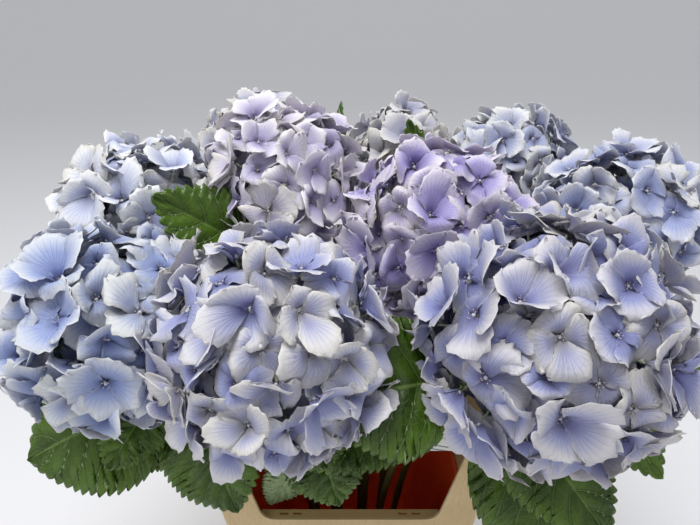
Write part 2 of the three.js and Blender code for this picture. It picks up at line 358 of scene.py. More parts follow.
def floorMaterial():
    material, tree, surface = newMaterial("floor_paint")
    depth = addNode(tree, "ShaderNodeSeparateXYZ", {0: objectPlace(tree)}).outputs["Y"]
    far = rangeNode(tree, depth, 0.1, 4.0)
    near = studio["floorNear"]
    dark = studio["floorFarShade"]
    colour = mixColours(tree, far, (near, near, near * 1.02), (dark, dark, dark * 1.01))
    tree.links.new(colour, surface.inputs["Base Color"])
    tree.links.new(colour, surface.inputs["Emission Color"])
    surface.inputs["Emission Strength"].default_value = studio["floorGlow"]
    surface.inputs["Roughness"].default_value = studio["floorRoughness"]
    return material


def makeFloor():
    reach = studio["floorReach"]
    bend = studio["wallBend"]
    profile = [(-reach, 0.0)]
    for step in range(studio["bendSteps"] + 1):
        angle = 0.5 * math.pi * step / studio["bendSteps"]
        profile.append((reach - bend + bend * math.sin(angle), bend - bend * math.cos(angle)))
    profile.append((reach, studio["wallHeight"]))
    points = []
    faces = []
    for y, z in profile:
        points += [(-2.0 * reach, y, z), (2.0 * reach, y, z)]
    for row in range(len(profile) - 1):
        faces.append((2 * row, 2 * row + 1, 2 * row + 3, 2 * row + 2))
    floor = linkObject("floor", meshFrom("floor", points, faces))
    floor.data.materials.append(floorMaterial())


# What a point of a flower head belongs to, for its material.
partKinds = {"sepal": 0.0, "bud": 1.0, "thread": 2.0, "anther": 3.0, "stalk": 4.0, "core": 5.0}

headShape = {
    "lean": 3.4,  # slope of a head's axis for each metre off centre
    "floretReach": 0.0245,  # length of a sepal
    "spacing": 0.0242,
    "mostPoints": 60000.0,  # on a square metre, before the spacing thins them
    "tilt": 0.55,
    "domeRings": 40,
    "domeSides": 72,
    "inset": 0.0125,  # from the outside of a head to the hearts of its florets
    "layers": ((0.0, 1.0, 1.0), (0.015, 1.12, 0.6)),  # depth, spacing and height share of each layer
    "smallest": 0.82,
    "largest": 1.08,
    "overlap": 0.42,  # how steeply a floret climbs over its neighbour
    "tuck": 0.72,  # how flat a petal lies where a neighbour covers it
    "ranks": 0.005,  # from the lowest floret to the highest
    "underside": 0.58,  # where the stem meets the head, as a share of its radius
    "skirt": 0.70,  # how far down the florets go, as a share of its radius
    "longSkirt": {"centre_right": 0.93},
    "branches": 11,
    "branchTurn": 2.399963,  # from one branch to the next, in radians
    "forkReach": 0.42,
    "branchRadii": (0.0026, 0.0017),
    "stalkRadii": (0.0012, 0.0008),
    "core": 0.036,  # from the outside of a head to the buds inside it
    "coreGap": 0.008,
}

# Middle, pale and deep colour of each head. upper_left, centre and back_centre are lighter as painted
# light, against the shade that falls on them.
headColours = {
    "front_right": {"middle": (0.30, 0.33, 0.58), "pale": (0.67, 0.65, 0.66), "deep": (0.10, 0.095, 0.30)},
    "front_left": {"middle": (0.35, 0.38, 0.63), "pale": (0.74, 0.72, 0.73), "deep": (0.10, 0.105, 0.32)},
    "far_left": {"middle": (0.33, 0.40, 0.66), "pale": (0.71, 0.73, 0.75), "deep": (0.085, 0.12, 0.35)},
    "upper_left": {"middle": (0.54, 0.59, 0.79), "pale": (0.87, 0.87, 0.87), "deep": (0.20, 0.22, 0.42)},
    "centre": {"middle": (0.56, 0.52, 0.71), "pale": (0.87, 0.83, 0.84), "deep": (0.22, 0.18, 0.40)},
    "centre_right": {"middle": (0.42, 0.38, 0.68), "pale": (0.79, 0.73, 0.80), "deep": (0.14, 0.09, 0.34)},
    "right": {"middle": (0.37, 0.42, 0.67), "pale": (0.77, 0.77, 0.80), "deep": (0.11, 0.13, 0.33)},
    "back_right": {"middle": (0.43, 0.47, 0.65), "pale": (0.78, 0.78, 0.78), "deep": (0.14, 0.15, 0.34)},
    "back_centre": {"middle": (0.47, 0.47, 0.57), "pale": (0.78, 0.76, 0.72), "deep": (0.18, 0.18, 0.33)},
    "back_left": {"middle": (0.50, 0.51, 0.64), "pale": (0.82, 0.80, 0.77), "deep": (0.19, 0.19, 0.35)},
}

# How many of a head's florets are creamy, from none to all.
creamShares = {
    "front_right": 0.45,
    "front_left": 0.50,
    "far_left": 0.35,
    "upper_left": 0.50,
    "centre": 0.50,
    "centre_right": 0.35,
    "right": 0.35,
    "back_right": 0.50,
    "back_centre": 0.55,
    "back_left": 0.60,
}


sepalShape = {
    "steps": 6,  # quads along each side
    "scallop": 0.030,  # how far the teeth of the rim stand out, as a share of the sepal
    "ragged": 0.022,
    "foot": 0.0012,  # from the heart to the sepal
    "narrowFoot": 0.50,
    "broadMiddle": 0.62,
    "narrowTip": 0.10,
    "point": 0.05,
    "liftSpread": 0.17,
    "curlSpread": 0.12,
    "twistSpread": 0.24,
    "roughness": 0.00018,
    "thickness": 0.00028,
}


# One wavy sepal: a disc of quads pulled into a broad rounded blade, with a thin underside.
def addSepal(parts, rng, turn, style, cell):
    steps = sepalShape["steps"]
    line = np.linspace(-1.0, 1.0, steps + 1)
    across, along = np.meshgrid(line, line)
    discX = across * np.sqrt(1.0 - along**2 / 2.0)
    discY = along * np.sqrt(1.0 - across**2 / 2.0)
    edge = np.clip(np.hypot(discX, discY), 0.0, 1.0)
    way = np.arctan2(discX, discY)
    scallop = np.where((np.arange(steps + 1)[:, None] + np.arange(steps + 1)) % 2 == 0, 1.0, -1.0)
    ragged = rng.normal(0.0, sepalShape["ragged"], edge.shape)
    rough = 1.0 + edge**10 * (sepalShape["scallop"] * scallop + ragged)
    length = style["length"] * rng.uniform(0.92, 1.08)
    width = style["width"] * rng.uniform(0.9, 1.1)
    up = (discY + 1.0) / 2.0
    narrow = sepalShape["narrowFoot"] + sepalShape["broadMiddle"] * smoothStep(0.0, 0.55, up)
    narrow = narrow - sepalShape["narrowTip"] * smoothStep(0.75, 1.0, up)
    x = discX * rough * narrow * width / 2.0
    point = sepalShape["point"] * np.exp(-((discX / 0.3) ** 2)) * smoothStep(0.8, 1.0, up)
    y = sepalShape["foot"] + (up * rough + point) * length
    lift = math.tan(np.clip(style["lift"] + rng.normal(0.0, sepalShape["liftSpread"]), 0.1, 1.1))
    curl = style["curl"] + rng.normal(0.0, sepalShape["curlSpread"])
    z = y * lift + curl * length * up**2
    twist = rng.normal(0.0, sepalShape["twistSpread"])
    z = z + style["cup"] * (x / width) ** 2 * width + twist * x * up
    waves = rng.uniform(0.7, 1.5) * style["ruffle"]
    z = z + waves * edge**3 * np.sin(way * rng.integers(3, 6) + rng.uniform(0, 6.3))
    z = z + 0.45 * waves * edge**5 * np.sin(way * rng.integers(7, 10) + rng.uniform(0, 6.3))
    z = z + rng.normal(0.0, sepalShape["roughness"], z.shape) * edge**2
    z = z + style["level"]
    top = np.stack([x, y, z], -1)
    du = np.gradient(top, axis=1)
    dv = np.gradient(top, axis=0)
    normal = unit(np.cross(du, dv))
    under = top - normal * sepalShape["thickness"]
    cos = math.cos(turn)
    sin = math.sin(turn)
    spin = np.array([[cos, -sin, 0.0], [sin, cos, 0.0], [0.0, 0.0, 1.0]])
    points = np.concatenate([top.reshape(-1, 3), under.reshape(-1, 3)]) @ spin.T
    size = steps + 1
    count = size * size
    faces = []
    for row in range(steps):
        for column in range(steps):
            corner = row * size + column
            quad = (corner, corner + 1, corner + size + 1, corner + size)
            faces.append(quad)
            faces.append(tuple(index + count for index in reversed(quad)))
    rim = list(range(size))
    rim += [row * size + steps for row in range(1, size)]
    rim += [steps * size + column for column in range(steps - 1, -1, -1)]
    rim += [row * size for row in range(steps - 1, 0, -1)]
    for index, corner in enumerate(rim):
        following = rim[(index + 1) % len(rim)]
        faces.append((corner, corner + count, following + count, following))
    place = np.stack([discX * 0.5 + 0.5, discY * 0.5 + 0.5], -1).reshape(-1, 2)
    isUnder = np.repeat([0.0, 1.0], count)
    parts.add(points, faces, np.concatenate([place, place]), partKinds["sepal"], cell, isUnder)


# A closed form turned round an axis: rows of (radius, height) between two poles.
def addTurned(parts, middle, rows, sides, kind, cell, axis=(0.0, 0.0, 1.0)):
    axis = unit(np.array(axis))
    helper = np.array([1.0, 0.0, 0.0]) if abs(axis[0]) < 0.8 else np.array([0.0, 1.0, 0.0])
    first = unit(np.cross(axis, helper))
    second = np.cross(axis, first)
    middle = np.array(middle, float)
    points = [middle + axis * rows[0][1]]
    for radius, height in rows[1:-1]:
        for side in range(sides):
            angle = 2.0 * math.pi * side / sides
            around = first * math.cos(angle) + second * math.sin(angle)
            points.append(middle + axis * height + radius * around)
    points.append(middle + axis * rows[-1][1])
    faces = []
    rings = len(rows) - 2
    last = len(points) - 1
    for side in range(sides):
        following = (side + 1) % sides
        faces.append((0, 1 + following, 1 + side))
        for ring in range(rings - 1):
            low = 1 + ring * sides
            faces.append((low + side, low + following, low + sides + following, low + sides + side))
        high = 1 + (rings - 1) * sides
        faces.append((high + side, high + following, last))
    shares = np.linspace(0.1, 0.9, len(rows))
    places = [(0.5, shares[0])]
    places += [(0.15 + 0.7 * side / sides, share) for share in shares[1:-1] for side in range(sides)]
    places += [(0.5, shares[-1])]
    parts.add(points, faces, places, kind, cell)


heartShape = {
    "budHeight": 0.0016,
    "bud": [(0, -0.0012), (0.0011, -0.0006), (0.0015, 0.0004), (0.0010, 0.0014), (0, 0.0018)],
    "threads": 6,
    "threadRadius": 0.00016,
    "anther": [(0, -0.0006), (0.00055, 0), (0, 0.0006)],
}


def addFloretHeart(parts, rng):
    addTurned(parts, (0, 0, heartShape["budHeight"]), heartShape["bud"], 7, partKinds["bud"], -1)
    thick = heartShape["threadRadius"]
    for index in range(heartShape["threads"]):
        angle = 2.0 * math.pi * (index + rng.uniform(-0.3, 0.3)) / heartShape["threads"]
        reach = rng.uniform(0.0018, 0.0032)
        tip = np.array([reach * math.cos(angle), reach * math.sin(angle), rng.uniform(0.003, 0.0048)])
        foot = tip * np.array([0.25, 0.25, 0.3])
        length = float(np.linalg.norm(tip - foot))
        rows = [(0, 0), (thick, 0.0001), (0.875 * thick, length - 0.0001), (0, length)]
        addTurned(parts, foot, rows, 3, partKinds["thread"], -2, tip - foot)
        addTurned(parts, tip, heartShape["anther"], 4, partKinds["anther"], -3)


def makeFloret(name, rng, style):
    parts = Parts()
    for index in range(4):
        turn = index * math.pi / 2.0 + rng.normal(0.0, 0.07)
        own = dict(style, level=0.0004 * (index % 2) + 0.0002 * index)
        addSepal(parts, rng, turn, own, index)
    addFloretHeart(parts, rng)
    return bpy.data.objects.new(name, parts.mesh(name, "petalMap"))


# Florets that face out, cup, fold back or lie flat.
floretStyles = (
    {"length": 0.0255, "width": 0.0295, "lift": 0.40, "curl": -0.16, "cup": 0.16, "ruffle": 0.0013},
    {"length": 0.0245, "width": 0.0285, "lift": 0.62, "curl": -0.20, "cup": 0.26, "ruffle": 0.0014},
    {"length": 0.0250, "width": 0.0300, "lift": 0.76, "curl": -0.38, "cup": 0.26, "ruffle": 0.0018},
    {"length": 0.0240, "width": 0.0285, "lift": 0.90, "curl": -0.20, "cup": 0.34, "ruffle": 0.0016},
    {"length": 0.0255, "width": 0.0300, "lift": 0.26, "curl": -0.14, "cup": 0.04, "ruffle": 0.0020},
    {"length": 0.0245, "width": 0.0285, "lift": 0.46, "curl": 0.04, "cup": -0.10, "ruffle": 0.0020},
    {"length": 0.0245, "width": 0.0295, "lift": 0.82, "curl": -0.50, "cup": 0.14, "ruffle": 0.0020},
)


def makeFloretKinds():
    rng = np.random.default_rng(11)
    kinds = bpy.data.collections.new("florets")
    for index, style in enumerate(floretStyles):
        kinds.objects.link(makeFloret(f"floret_{index}", rng, style))
    return kinds


# The tree that sets florets over a dome, facing out, each with its own spin, tilt, size and kind.
def floretTree(kinds, material):
    tree = bpy.data.node_groups.new("floretsOnDome", "GeometryNodeTree")
    face = tree.interface
    face.new_socket("Dome", in_out="INPUT", socket_type="NodeSocketGeometry")
    for name, value in (
        ("Spacing", headShape["spacing"]),
        ("Tilt", headShape["tilt"]),
        ("Smallest", headShape["smallest"]),
        ("Largest", headShape["largest"]),
    ):
        face.new_socket(name, in_out="INPUT", socket_type="NodeSocketFloat").default_value = value
    face.new_socket("Seed", in_out="INPUT", socket_type="NodeSocketInt").default_value = 1
    face.new_socket("Florets", in_out="OUTPUT", socket_type="NodeSocketGeometry")
    source = tree.nodes.new("NodeGroupInput").outputs
    spread = addNode(
        tree,
        "GeometryNodeDistributePointsOnFaces",
        {"Mesh": source["Dome"], "Distance Min": source["Spacing"], "Seed": source["Seed"]},
        distribute_method="POISSON",
    )
    spread.inputs["Density Max"].default_value = headShape["mostPoints"]
    number = addNode(tree, "GeometryNodeInputIndex").outputs[0]
    middle = addNode(tree, "GeometryNodeInputPosition").outputs[0]
    points = spread.outputs["Points"]
    stored = (("floretNumber", "INT", number), ("floretMiddle", "FLOAT_VECTOR", middle))
    for name, kind, value in stored:
        node = addNode(tree, "GeometryNodeStoreNamedAttribute", {"Name": name}, data_type=kind)
        node.domain = "POINT"
        tree.links.new(points, node.inputs["Geometry"])
        tree.links.new(value, node.inputs["Value"])
        points = node.outputs[0]
    lean = addNode(tree, "ShaderNodeCombineXYZ", {0: source["Tilt"], 1: source["Tilt"], 2: math.pi})
    opposite = {0: lean.outputs[0], 1: (-1.0, -1.0, -1.0)}
    back = addNode(tree, "ShaderNodeVectorMath", opposite, operation="MULTIPLY")
    turn = addNode(tree, "FunctionNodeRandomValue", {"Seed": source["Seed"]}, data_type="FLOAT_VECTOR")
    tree.links.new(back.outputs[0], turn.inputs[0])
    tree.links.new(lean.outputs[0], turn.inputs[1])
    asRotation = addNode(tree, "FunctionNodeEulerToRotation", {0: turn.outputs[0]})
    outward = {0: spread.outputs["Rotation"]}
    rotation = addNode(tree, "FunctionNodeRotateRotation", outward, rotation_space="LOCAL")
    tree.links.new(asRotation.outputs[0], rotation.inputs[1])
    size = addNode(tree, "FunctionNodeRandomValue", {"Seed": source["Seed"]}, data_type="FLOAT")
    tree.links.new(source["Smallest"], size.inputs[2])
    tree.links.new(source["Largest"], size.inputs[3])
    pick = addNode(tree, "FunctionNodeRandomValue", {"Seed": source["Seed"]}, data_type="INT")
    pick.inputs[4].default_value = 0
    pick.inputs[5].default_value = len(floretStyles) - 1
    choice = {"Collection": kinds, "Separate Children": True, "Reset Children": True}
    shapes = addNode(tree, "GeometryNodeCollectionInfo", choice)
    placed = addNode(tree, "GeometryNodeInstanceOnPoints", {"Pick Instance": True})
    tree.links.new(points, placed.inputs["Points"])
    tree.links.new(shapes.outputs[0], placed.inputs["Instance"])
    tree.links.new(pick.outputs[2], placed.inputs["Instance Index"])
    tree.links.new(rotation.outputs[0], placed.inputs["Rotation"])
    tree.links.new(size.outputs[1], placed.inputs["Scale"])
    real = addNode(tree, "GeometryNodeRealizeInstances", {0: placed.outputs[0]})
    dressed = addNode(tree, "GeometryNodeSetMaterial", {"Geometry": real.outputs[0], "Material": material})
    result = tree.nodes.new("NodeGroupOutput")
    tree.links.new(dressed.outputs[0], result.inputs[0])
    return tree


def runTree(piece, tree, values):
    modifier = piece.modifiers.new("nodes", "NODES")
    modifier.node_group = tree
    sockets = {item.name: item.identifier for item in tree.interface.items_tree if item.in_out == "INPUT"}
    for name, value in values.items():
        modifier[sockets[name]] = value
    depsgraph = bpy.context.evaluated_depsgraph_get()
    mesh = bpy.data.meshes.new_from_object(piece.evaluated_get(depsgraph))
    piece.modifiers.remove(modifier)
    return mesh


# Middle and radius of the ball that a CAD head was cut from.
def ballOf(node):
    points = pointsOf(bpy.data.objects[node].data)
    table = np.column_stack([2.0 * points, np.ones(len(points))])
    solved = np.linalg.lstsq(table, (points**2).sum(1), rcond=None)[0]
    middle = solved[:3]
    return middle, math.sqrt(solved[3] + middle @ middle)


# The outside of a ball above its skirt, where no other head takes it up.
def makeDome(name, middle, axis, radius, neighbours, skirt):
    rings = headShape["domeRings"]
    sides = headShape["domeSides"]
    points = []
    faces = []
    for ring in range(rings + 1):
        polar = math.pi * ring / rings
        flat = math.sin(polar)
        for side in range(sides):
            angle = 2.0 * math.pi * side / sides
            direction = (flat * math.cos(angle), flat * math.sin(angle), math.cos(polar))
            points.append(middle + radius * np.array(direction))
    points = np.array(points)
    for ring in range(rings):
        for side in range(sides):
            following = (side + 1) % sides
            quad = [ring * sides + side, (ring + 1) * sides + side]
            quad += [(ring + 1) * sides + following, ring * sides + following]
            spot = points[quad].mean(0)
            isFree = (spot - middle) @ axis > -skirt * radius
            for normal, offset in neighbours:
                isFree = isFree and (spot @ normal < offset)
            if isFree:
                faces.append(quad)
    return linkObject(name, meshFrom(name, points, faces))


laying = {
    "neighbours": 8,
    "climbFrom": 0.003,  # how far short of the middle line between two florets one starts to climb
    "sinkFrom": 0.002,
    "most": 0.014,
    "tuckFrom": -0.009,
    "tuckTo": 0.003,
    "high": 0.012,  # petals higher than this are pressed down
    "highShare": 0.4,
    "headGap": 0.003,  # kept between two heads that meet
    "push": 0.93,
    "turnUp": 0.25,
}


# Lays each floret round the ball, lets the higher of two neighbours climb over the lower one,
# and turns petals up where another head presses on this one.
def layFlorets(mesh, middle, radius, rng, neighbours, firstNumber, heightShare):
    points = pointsOf(mesh)
    data = mesh.attributes["floretNumber"].data
    number = np.empty(len(data), np.int32)
    data.foreach_get("value", number)
    place = valuesOf(mesh, "floretMiddle", 3).astype(float)
    _, first, number = np.unique(number, return_index=True, return_inverse=True)
    centres = place[first]
    outward = unit(centres - middle)
    own = outward[number]
    height = ((points - place) * own).sum(1)
    direction = unit(points - middle)
    rank = rng.permutation(len(centres)).astype(float) / len(centres)
    ground = middle + direction * radius
    gaps = np.linalg.norm(centres[:, None] - centres[None], axis=2)
    np.fill_diagonal(gaps, np.inf)
    near = np.argsort(gaps, axis=1)[:, : laying["neighbours"]]
    climb = np.zeros(len(points))
    sink = np.zeros(len(points))
    tuck = np.zeros(len(points))
    toOwn = ((ground - centres[number]) ** 2).sum(1)
    for column in range(near.shape[1]):
        other = near[number, column]
        toOther = ((ground - centres[other]) ** 2).sum(1)
        beyond = (toOwn - toOther) / (2.0 * gaps[number, other])
        above = rank[number] > rank[other]
        close = gaps[number, other] < 2.0 * headShape["floretReach"]
        rise = np.clip(beyond + laying["climbFrom"], 0.0, laying["most"])
        fall = np.clip(beyond + laying["sinkFrom"], 0.0, laying["most"])
        climb = np.maximum(climb, np.where(above & close, rise, 0.0))
        sink = np.maximum(sink, np.where(~above & close, fall, 0.0))
        pressed = smoothStep(laying["tuckFrom"], laying["tuckTo"], beyond)
        tuck = np.maximum(tuck, np.where(~above & close, pressed, 0.0))
    level = (rank[number] - 0.5) * headShape["ranks"]
    high = laying["high"]
    height = np.where(height > high, high + laying["highShare"] * (height - high), height) * heightShare
    height = height * (1.0 - headShape["tuck"] * tuck)
    height = height + headShape["overlap"] * (climb * (1.0 - tuck) - sink)
    points = middle + direction * (radius + height + level)[:, None]
    for normal, offset in neighbours:
        past = np.maximum(points @ normal - offset + laying["headGap"], 0.0)
        points = points - normal * (laying["push"] * past)[:, None]
        points = points + direction * (laying["turnUp"] * past)[:, None]
    mesh.vertices.foreach_set("co", points.ravel())
    mesh.update()
    setPointValue(mesh, "tint", rng.uniform(0.0, 1.0, len(centres))[number])
    setPointValue(mesh, "floret", number + firstNumber)
    return middle + outward * (radius - 0.001)


def axisOf(middle):
    lean = headShape["lean"]
    return unit(np.array([middle[0] * lean, middle[1] * lean, 1.0]))


def meetingPlanes(name, balls):
    middle, radius = balls[name]
    planes = []
    for other, (place, size) in balls.items():
        between = place - middle
        apart = float(np.linalg.norm(between))
        if other == name or apart > radius + size + 0.004:
            continue
        normal = between / apart
        meet = (apart**2 + radius**2 - size**2) / (2.0 * apart)
        planes.append((normal, float(normal @ middle) + meet))
    return planes


def joinMeshes(name, meshes):
    pieces = [linkObject(f"{name}_{index}", mesh) for index, mesh in enumerate(meshes)]
    with bpy.context.temp_override(active_object=pieces[0], selected_editable_objects=pieces):
        bpy.ops.object.join()
    pieces[0].name = name
    pieces[0].data.name = name
    return pieces[0]


# The mass of unopened buds inside a head, pressed flat where another head is near.
def addCore(parts, middle, reach, axis, neighbours):
    angles = np.linspace(0.0, math.pi, 15)
    rows = [(reach * math.sin(angle), -reach * math.cos(angle)) for angle in angles]
    rows[0] = (0.0, -reach)
    rows[-1] = (0.0, reach)
    addTurned(parts, middle, rows, 26, partKinds["core"], -5, axis)
    points = parts.points[-1]
    for normal, offset in neighbours:
        past = np.maximum(points @ normal - offset + headShape["coreGap"], 0.0)
        points = points - normal * past[..., None]
    parts.points[-1] = points


# The core, branches from the stem's top to forks round the middle, and a thin stalk to each floret.
def makeStalks(middle, radius, axis, centres, material, neighbours):
    parts = Parts()
    addCore(parts, middle, radius - headShape["core"], axis, neighbours)
    foot = middle - axis * headShape["underside"] * radius
    branchRadii = np.linspace(*headShape["branchRadii"], 5)
    stalkRadii = np.linspace(*headShape["stalkRadii"], 4)
    forks = []
    for index in range(headShape["branches"]):
        level = 1.0 - 1.25 * (index + 0.5) / headShape["branches"]
        angle = headShape["branchTurn"] * index
        flat = math.sqrt(1.0 - level**2)
        spread = np.array([flat * math.cos(angle), flat * math.sin(angle), level])
        fork = middle + headShape["forkReach"] * radius * spread
        forks.append(fork)
        bend = (foot + fork) / 2.0 + axis * 0.1 * radius
        path = bezierPoints([foot, bend, fork], np.linspace(0, 1, 5))
        addTube(parts, path, branchRadii, 6, partKinds["stalk"], -4)
    forks = np.array(forks)
    for centre in centres:
        fork = forks[np.argmin(np.linalg.norm(forks - centre, axis=1))]
        bend = middle + 0.72 * (centre - middle)
        path = bezierPoints([fork, bend, centre], np.linspace(0, 1, 4))
        addTube(parts, path, stalkRadii, 4, partKinds["stalk"], -4)
    mesh = parts.mesh("stalks", "petalMap")
    setPointValue(mesh, "tint", np.zeros(len(mesh.vertices)))
    setPointValue(mesh, "floret", np.zeros(len(mesh.vertices)))
    mesh.materials.append(material)
    return mesh


# One square of the map for each sepal, and one for each kind of small part.
def addBakeMap(mesh):
    floret = np.round(valuesOf(mesh, "floret")).astype(int)
    cell = np.round(valuesOf(mesh, "cell")).astype(int)
    corners = np.empty(len(mesh.loops), np.int32)
    mesh.loops.foreach_get("vertex_index", corners)
    places = np.empty(len(mesh.loops) * 2, np.float32)
    mesh.uv_layers["petalMap"].data.foreach_get("uv", places)
    places = places.reshape(-1, 2)
    under = valuesOf(mesh, "under")[corners]
    inner = 0.5 + (places - 0.5) * np.where(under > 0.5, 0.78, 0.86)[:, None]
    square = np.where(cell >= 0, floret * 4 + cell, -1)
    _, square = np.unique(square, return_inverse=True)
    square = np.where(cell >= 0, square + 5, -1 - cell)
    side = math.ceil(math.sqrt(square.max() + 1))
    spot = square[corners]
    table = np.stack([(spot % side + inner[:, 0]) / side, (spot // side + inner[:, 1]) / side], -1)
    mesh.uv_layers.new(name="OFBake").data.foreach_set("uv", table.astype(np.float32).ravel())


def makeHead(name, balls, kinds, seed):
    middle, radius = balls[name]
    axis = axisOf(middle)
    planes = meetingPlanes(name, balls)
    material = petalMaterial(name)
    tree = floretTree(kinds, material)
    meshes = []
    centres = []
    for layer, (depth, wide, share) in enumerate(headShape["layers"]):
        reach = radius - headShape["inset"] - depth
        skirt = headShape["longSkirt"].get(name, headShape["skirt"])
        dome = makeDome(f"dome_{name}", middle, axis, reach, planes, skirt)
        spacing = headShape["spacing"] * wide
        values = {"Spacing": spacing, "Tilt": headShape["tilt"], "Seed": seed + 50 * layer}
        mesh = runTree(dome, tree, values)
        bpy.data.objects.remove(dome)
        rng = np.random.default_rng(seed + 7 * layer)
        centres.append(layFlorets(mesh, middle, reach, rng, planes, 1000 * layer, share))
        meshes.append(mesh)
    meshes.append(makeStalks(middle, radius, axis, np.concatenate(centres), material, planes))
    head = joinMeshes(f"flower_{name}", meshes)
    addBakeMap(head.data)
    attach(head, "root")
    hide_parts(f"head_{name}")
    return head


petalLook = {
    "veins": ((9.0, 0.30), (17.0, 0.38), (33.0, 0.5)),  # how many across a sepal, and how thin
    "veinShare": 0.62,
    "heartShare": 0.8,
    "creamShare": 0.6,
    "cream": (0.72, 0.69, 0.58),
    "bud": (0.62, 0.62, 0.66),
    "thread": (0.40, 0.42, 0.70),
    "anther": (0.82, 0.74, 0.56),
    "stalk": (0.30, 0.36, 0.24),
    "buds": 190.0,
    "roughness": 0.62,
    "specular": 0.25,
    "sheen": 0.12,
    "translucence": 0.12,
    "bump": 0.6,
    "bumpDepth": 0.0006,
}


def lengthOf(tree, x, y):
    return mathNode(tree, "SQRT", plus(tree, times(tree, x, x), times(tree, y, y)))


# Fine lines that fan out from the foot of a sepal, each set fading in its own way.
def petalVeins(tree, angle, far, wobble):
    fans = []
    for lines, sharpness in petalLook["veins"]:
        wave = mathNode(tree, "SINE", mathNode(tree, "MULTIPLY_ADD", angle, lines * 2.0, wobble))
        line = mathNode(tree, "POWER", mathNode(tree, "ABSOLUTE", wave), sharpness)
        fans.append(minus(tree, 1.0, line))
    strong = times(tree, fans[0], rangeNode(tree, far, 0.9, 2.0, 1.0, 0.30))
    middling = times(tree, fans[1], rangeNode(tree, far, 0.6, 1.8, 0.9, 0.22))
    fine = times(tree, fans[2], rangeNode(tree, far, 0.5, 1.6, 0.2, 0.34))
    return larger(tree, larger(tree, strong, middling), fine)


# One pattern for all heads: deep at the heart, pale at the rim, some florets creamy.
def petalGroup():
    if "petalPattern" in bpy.data.node_groups:
        return bpy.data.node_groups["petalPattern"]
    tree = bpy.data.node_groups.new("petalPattern", "ShaderNodeTree")
    face = tree.interface
    for name in ("Middle", "Pale", "Deep"):
        face.new_socket(name, in_out="INPUT", socket_type="NodeSocketColor")
    face.new_socket("Cream", in_out="INPUT", socket_type="NodeSocketFloat")
    face.new_socket("Colour", in_out="OUTPUT", socket_type="NodeSocketColor")
    face.new_socket("Height", in_out="OUTPUT", socket_type="NodeSocketFloat")
    source = tree.nodes.new("NodeGroupInput").outputs
    place = addNode(tree, "ShaderNodeUVMap", uv_map="petalMap").outputs[0]
    spot = objectPlace(tree)
    split = addNode(tree, "ShaderNodeSeparateXYZ", {0: place})
    x = mathNode(tree, "MULTIPLY_ADD", split.outputs[0], 2.0, -1.0)
    y = mathNode(tree, "MULTIPLY_ADD", split.outputs[1], 2.0, -1.0)
    edge = lengthOf(tree, x, y)
    fromFoot = plus(tree, y, 1.12)
    far = lengthOf(tree, x, fromFoot)
    angle = mathNode(tree, "ARCTAN2", x, fromFoot)
    tint = addNode(tree, "ShaderNodeAttribute", attribute_name="tint").outputs["Fac"]
    blotch = noiseNode(tree, spot, 90.0, 3.0)
    wobble = mathNode(tree, "MULTIPLY_ADD", blotch, 2.4, times(tree, tint, 40.0))
    vein = petalVeins(tree, angle, far, wobble)
    paleness = mathNode(tree, "MULTIPLY_ADD", tint, 0.85, -0.34)
    spread = plus(tree, rangeNode(tree, far, 0.60, 2.05), times(tree, paleness, 0.8))
    spread = plus(tree, spread, times(tree, rangeNode(tree, edge, 0.80, 1.0), 0.35))
    spread = plus(tree, spread, mathNode(tree, "MULTIPLY_ADD", blotch, 0.5, -0.25), clamp=True)
    colour = mixColours(tree, spread, source["Middle"], source["Pale"])
    heart = rangeNode(tree, far, 0.10, 0.95, 1.0, 0.0)
    colour = layOver(tree, colour, heart, petalLook["heartShare"], source["Deep"])
    isCreamy = rangeNode(tree, minus(tree, tint, minus(tree, 1.0, source["Cream"])), 0.0, 0.35)
    cream = times(tree, isCreamy, rangeNode(tree, edge, 0.35, 1.0))
    colour = layOver(tree, colour, cream, petalLook["creamShare"], petalLook["cream"])
    colour = layOver(tree, colour, vein, petalLook["veinShare"], source["Deep"])
    result = tree.nodes.new("NodeGroupOutput")
    tree.links.new(colour, result.inputs["Colour"])
    crinkle = noiseNode(tree, spot, 420.0, 2.0)
    tree.links.new(minus(tree, crinkle, vein), result.inputs["Height"])
    return tree


def petalMaterial(name):
    colours = headColours[name]
    material, tree, surface = newMaterial(f"petals_{name}")
    pattern = addNode(tree, "ShaderNodeGroup", node_tree=petalGroup())
    for key in ("middle", "pale", "deep"):
        pattern.inputs[key.capitalize()].default_value = (*colours[key], 1.0)
    pattern.inputs["Cream"].default_value = creamShares[name]
    colour = pattern.outputs["Colour"]
    buds = {"Vector": objectPlace(tree), "Scale": petalLook["buds"]}
    toBud = addNode(tree, "ShaderNodeTexVoronoi", buds).outputs["Distance"]
    core = mixColours(tree, rangeNode(tree, toBud, 0.2, 0.7), colours["middle"], colours["deep"])
    looks = {part: petalLook[part] for part in ("bud", "thread", "anther", "stalk")}
    kind = pointKind(tree)
    for part, own in (looks | {"core": core}).items():
        number = partKinds[part]
        colour = mixColours(tree, rangeNode(tree, kind, number - 0.6, number - 0.4), colour, own)
    tree.links.new(colour, surface.inputs["Base Color"])
    surface.inputs["Roughness"].default_value = petalLook["roughness"]
    surface.inputs["Specular IOR Level"].default_value = petalLook["specular"]
    surface.inputs["Sheen Weight"].default_value = petalLook["sheen"]
    surface.inputs["Subsurface Weight"].default_value = petalLook["translucence"]
    surface.inputs["Subsurface Radius"].default_value = (0.0025, 0.0022, 0.0028)
    surface.inputs["Subsurface Scale"].default_value = 1.0
    bumpOn(tree, surface, pattern.outputs["Height"], petalLook["bump"], petalLook["bumpDepth"])
    return material


def makeHeads(balls):
    kinds = makeFloretKinds()
    for index, name in enumerate(headColours):
        head = makeHead(name, balls, kinds, 3 + 17 * index)
        print("flower head", name, len(head.data.polygons), "faces", flush=True)
    for floret in list(kinds.objects):
        bpy.data.objects.remove(floret)
    bpy.data.collections.remove(kinds)


